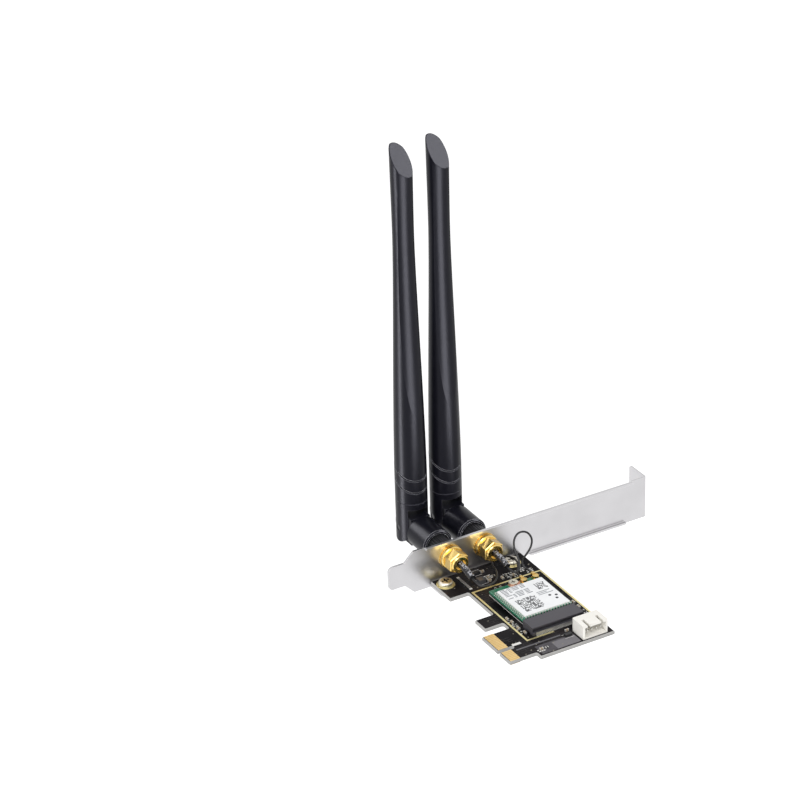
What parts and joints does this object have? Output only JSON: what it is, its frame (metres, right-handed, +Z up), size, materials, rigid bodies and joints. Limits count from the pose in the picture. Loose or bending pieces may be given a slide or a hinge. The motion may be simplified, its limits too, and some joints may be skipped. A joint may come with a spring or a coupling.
{
  "type": "wireless network card",
  "caption": "Slot-in wireless network card: black board with a green radio module under a white label, full-height metal bracket and tall black hinged antennas.",
  "frame": {"origin": "middle of the key notch, on the contact edge, at the height of the board's component face", "axes": "+X away from the contact edge, +Y towards the slot bracket and the antennas, +Z up from the component face, along the raised antennas"},
  "size_m": [0.12, 0.1043, 0.1765],
  "materials": {
    "nickel_sheet": "satin nickel-plated sheet",
    "nickel_screw": "bright nickel-plated screw",
    "board_mask": "black solder mask over copper",
    "contact_gold": "hard gold plate",
    "land_gold": "thin gold plate on copper",
    "socket_nylon": "moulded, satin",
    "tinned_tail": "tinned copper",
    "module_mask": "green solder mask",
    "bare_copper": "bare copper",
    "shield_tin": "tinned steel",
    "label_film": "white printed film",
    "standoff_brass": "turned",
    "header_nylon": "ivory moulded nylon",
    "pin_tin": "tinned brass",
    "capacitor_ceramic": "fired ceramic with tinned ends",
    "resistor_glaze": "black glaze with tinned ends",
    "chip_epoxy": "moulded epoxy",
    "inductor_ferrite": "pressed ferrite",
    "connector_gold": "gold plate",
    "jack_gold": "bright gold plate",
    "shrink_sleeve": "shrunk polyolefin",
    "lead_jacket": "extruded jacket",
    "black_oxide": "black-plated brass",
    "antenna_abs": "fine-textured moulded plastic",
    "hinge_steel": "turned steel"
  },
  "bodies": {
    "card": {"bracket": "nickel_sheet", "bracket_screws": "nickel_screw", "cable_header": "header_nylon", "chip_capacitors": "capacitor_ceramic", "chip_resistors": "resistor_glaze", "coax_receptacles": "connector_gold", "edge_contacts": "contact_gold", "ground_frame": "land_gold", "header_pins": "pin_tin", "left_coupling_nut": "black_oxide", "left_inner_nut": "jack_gold", "left_jack": "jack_gold", "left_lead": "lead_jacket", "left_lock_washer": "jack_gold", "left_mini_plug": "connector_gold", "left_panel_nut": "jack_gold", "left_sleeve": "shrink_sleeve", "main_board": "board_mask", "module_board": "module_mask", "module_label": "label_film", "module_land": "bare_copper", "module_screw": "nickel_screw", "module_shield": "shield_tin", "module_socket": "socket_nylon", "module_standoff": "standoff_brass", "power_inductor": "inductor_ferrite", "regulators": "chip_epoxy", "right_coupling_nut": "black_oxide", "right_inner_nut": "jack_gold", "right_jack": "jack_gold", "right_lead": "lead_jacket", "right_lock_washer": "jack_gold", "right_mini_plug": "connector_gold", "right_panel_nut": "jack_gold", "right_sleeve": "shrink_sleeve", "screw_lands": "land_gold", "socket_tails": "tinned_tail"},
    "left_base": {"left_antenna_plug": "connector_gold", "left_swivel_base": "antenna_abs"},
    "left_blade": {"left_band": "antenna_abs", "left_fork": "antenna_abs", "left_hinge_pin": "hinge_steel", "left_radome": "antenna_abs"},
    "right_base": {"right_antenna_plug": "connector_gold", "right_swivel_base": "antenna_abs"},
    "right_blade": {"right_band": "antenna_abs", "right_fork": "antenna_abs", "right_hinge_pin": "hinge_steel", "right_radome": "antenna_abs"}
  },
  "joints": [
    {"name": "left_swivel", "type": "hinge", "parent": "card", "child": "left_base", "pos_m": [0.0127, 0.0694, 0.009], "axis": [0, -1, 0], "range_deg": [0, 90]},
    {"name": "left_tilt", "type": "hinge", "parent": "left_base", "child": "left_blade", "pos_m": [0.0127, 0.08665, 0.009], "axis": [-1, 0, 0], "range_deg": [0, 90]},
    {"name": "right_swivel", "type": "hinge", "parent": "card", "child": "right_base", "pos_m": [0.0285, 0.0694, 0.009], "axis": [0, 1, 0], "range_deg": [0, 90]},
    {"name": "right_tilt", "type": "hinge", "parent": "right_base", "child": "right_blade", "pos_m": [0.0285, 0.08665, 0.009], "axis": [-1, 0, 0], "range_deg": [0, 90]}
  ]
}
